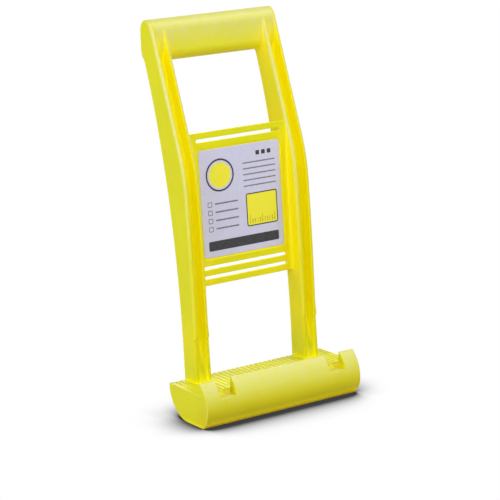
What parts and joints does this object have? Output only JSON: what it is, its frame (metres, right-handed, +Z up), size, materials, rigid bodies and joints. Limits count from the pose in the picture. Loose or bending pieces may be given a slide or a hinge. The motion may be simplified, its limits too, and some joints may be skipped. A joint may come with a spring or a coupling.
{
  "type": "panel carrier",
  "caption": "Hand-held hook for carrying sheets of board: a ribbed foot with a lip, two channelled rails that lean back, a label plate and a bar handle.",
  "frame": {"origin": "middle of the flat underside of the foot", "axes": "+X along the foot, -Y towards the lip and the carried sheet, +Z up towards the handle"},
  "size_m": [0.19, 0.1241, 0.4],
  "materials": {
    "yellow_plastic": "satin moulded",
    "label_film": "printed film"
  },
  "bodies": {
    "root": {"foot_shell": "yellow_plastic", "left_end_wall": "yellow_plastic", "right_end_wall": "yellow_plastic", "left_seat_webs": "yellow_plastic", "right_seat_webs": "yellow_plastic", "tread_webs_row": "yellow_plastic", "tread": "yellow_plastic", "left_horn": "yellow_plastic", "centre_lip": "yellow_plastic", "right_horn": "yellow_plastic", "left_rail": "yellow_plastic", "right_rail": "yellow_plastic", "handle_bar": "yellow_plastic", "label_plate": "yellow_plastic", "label": "label_film"}
  },
  "joints": []
}
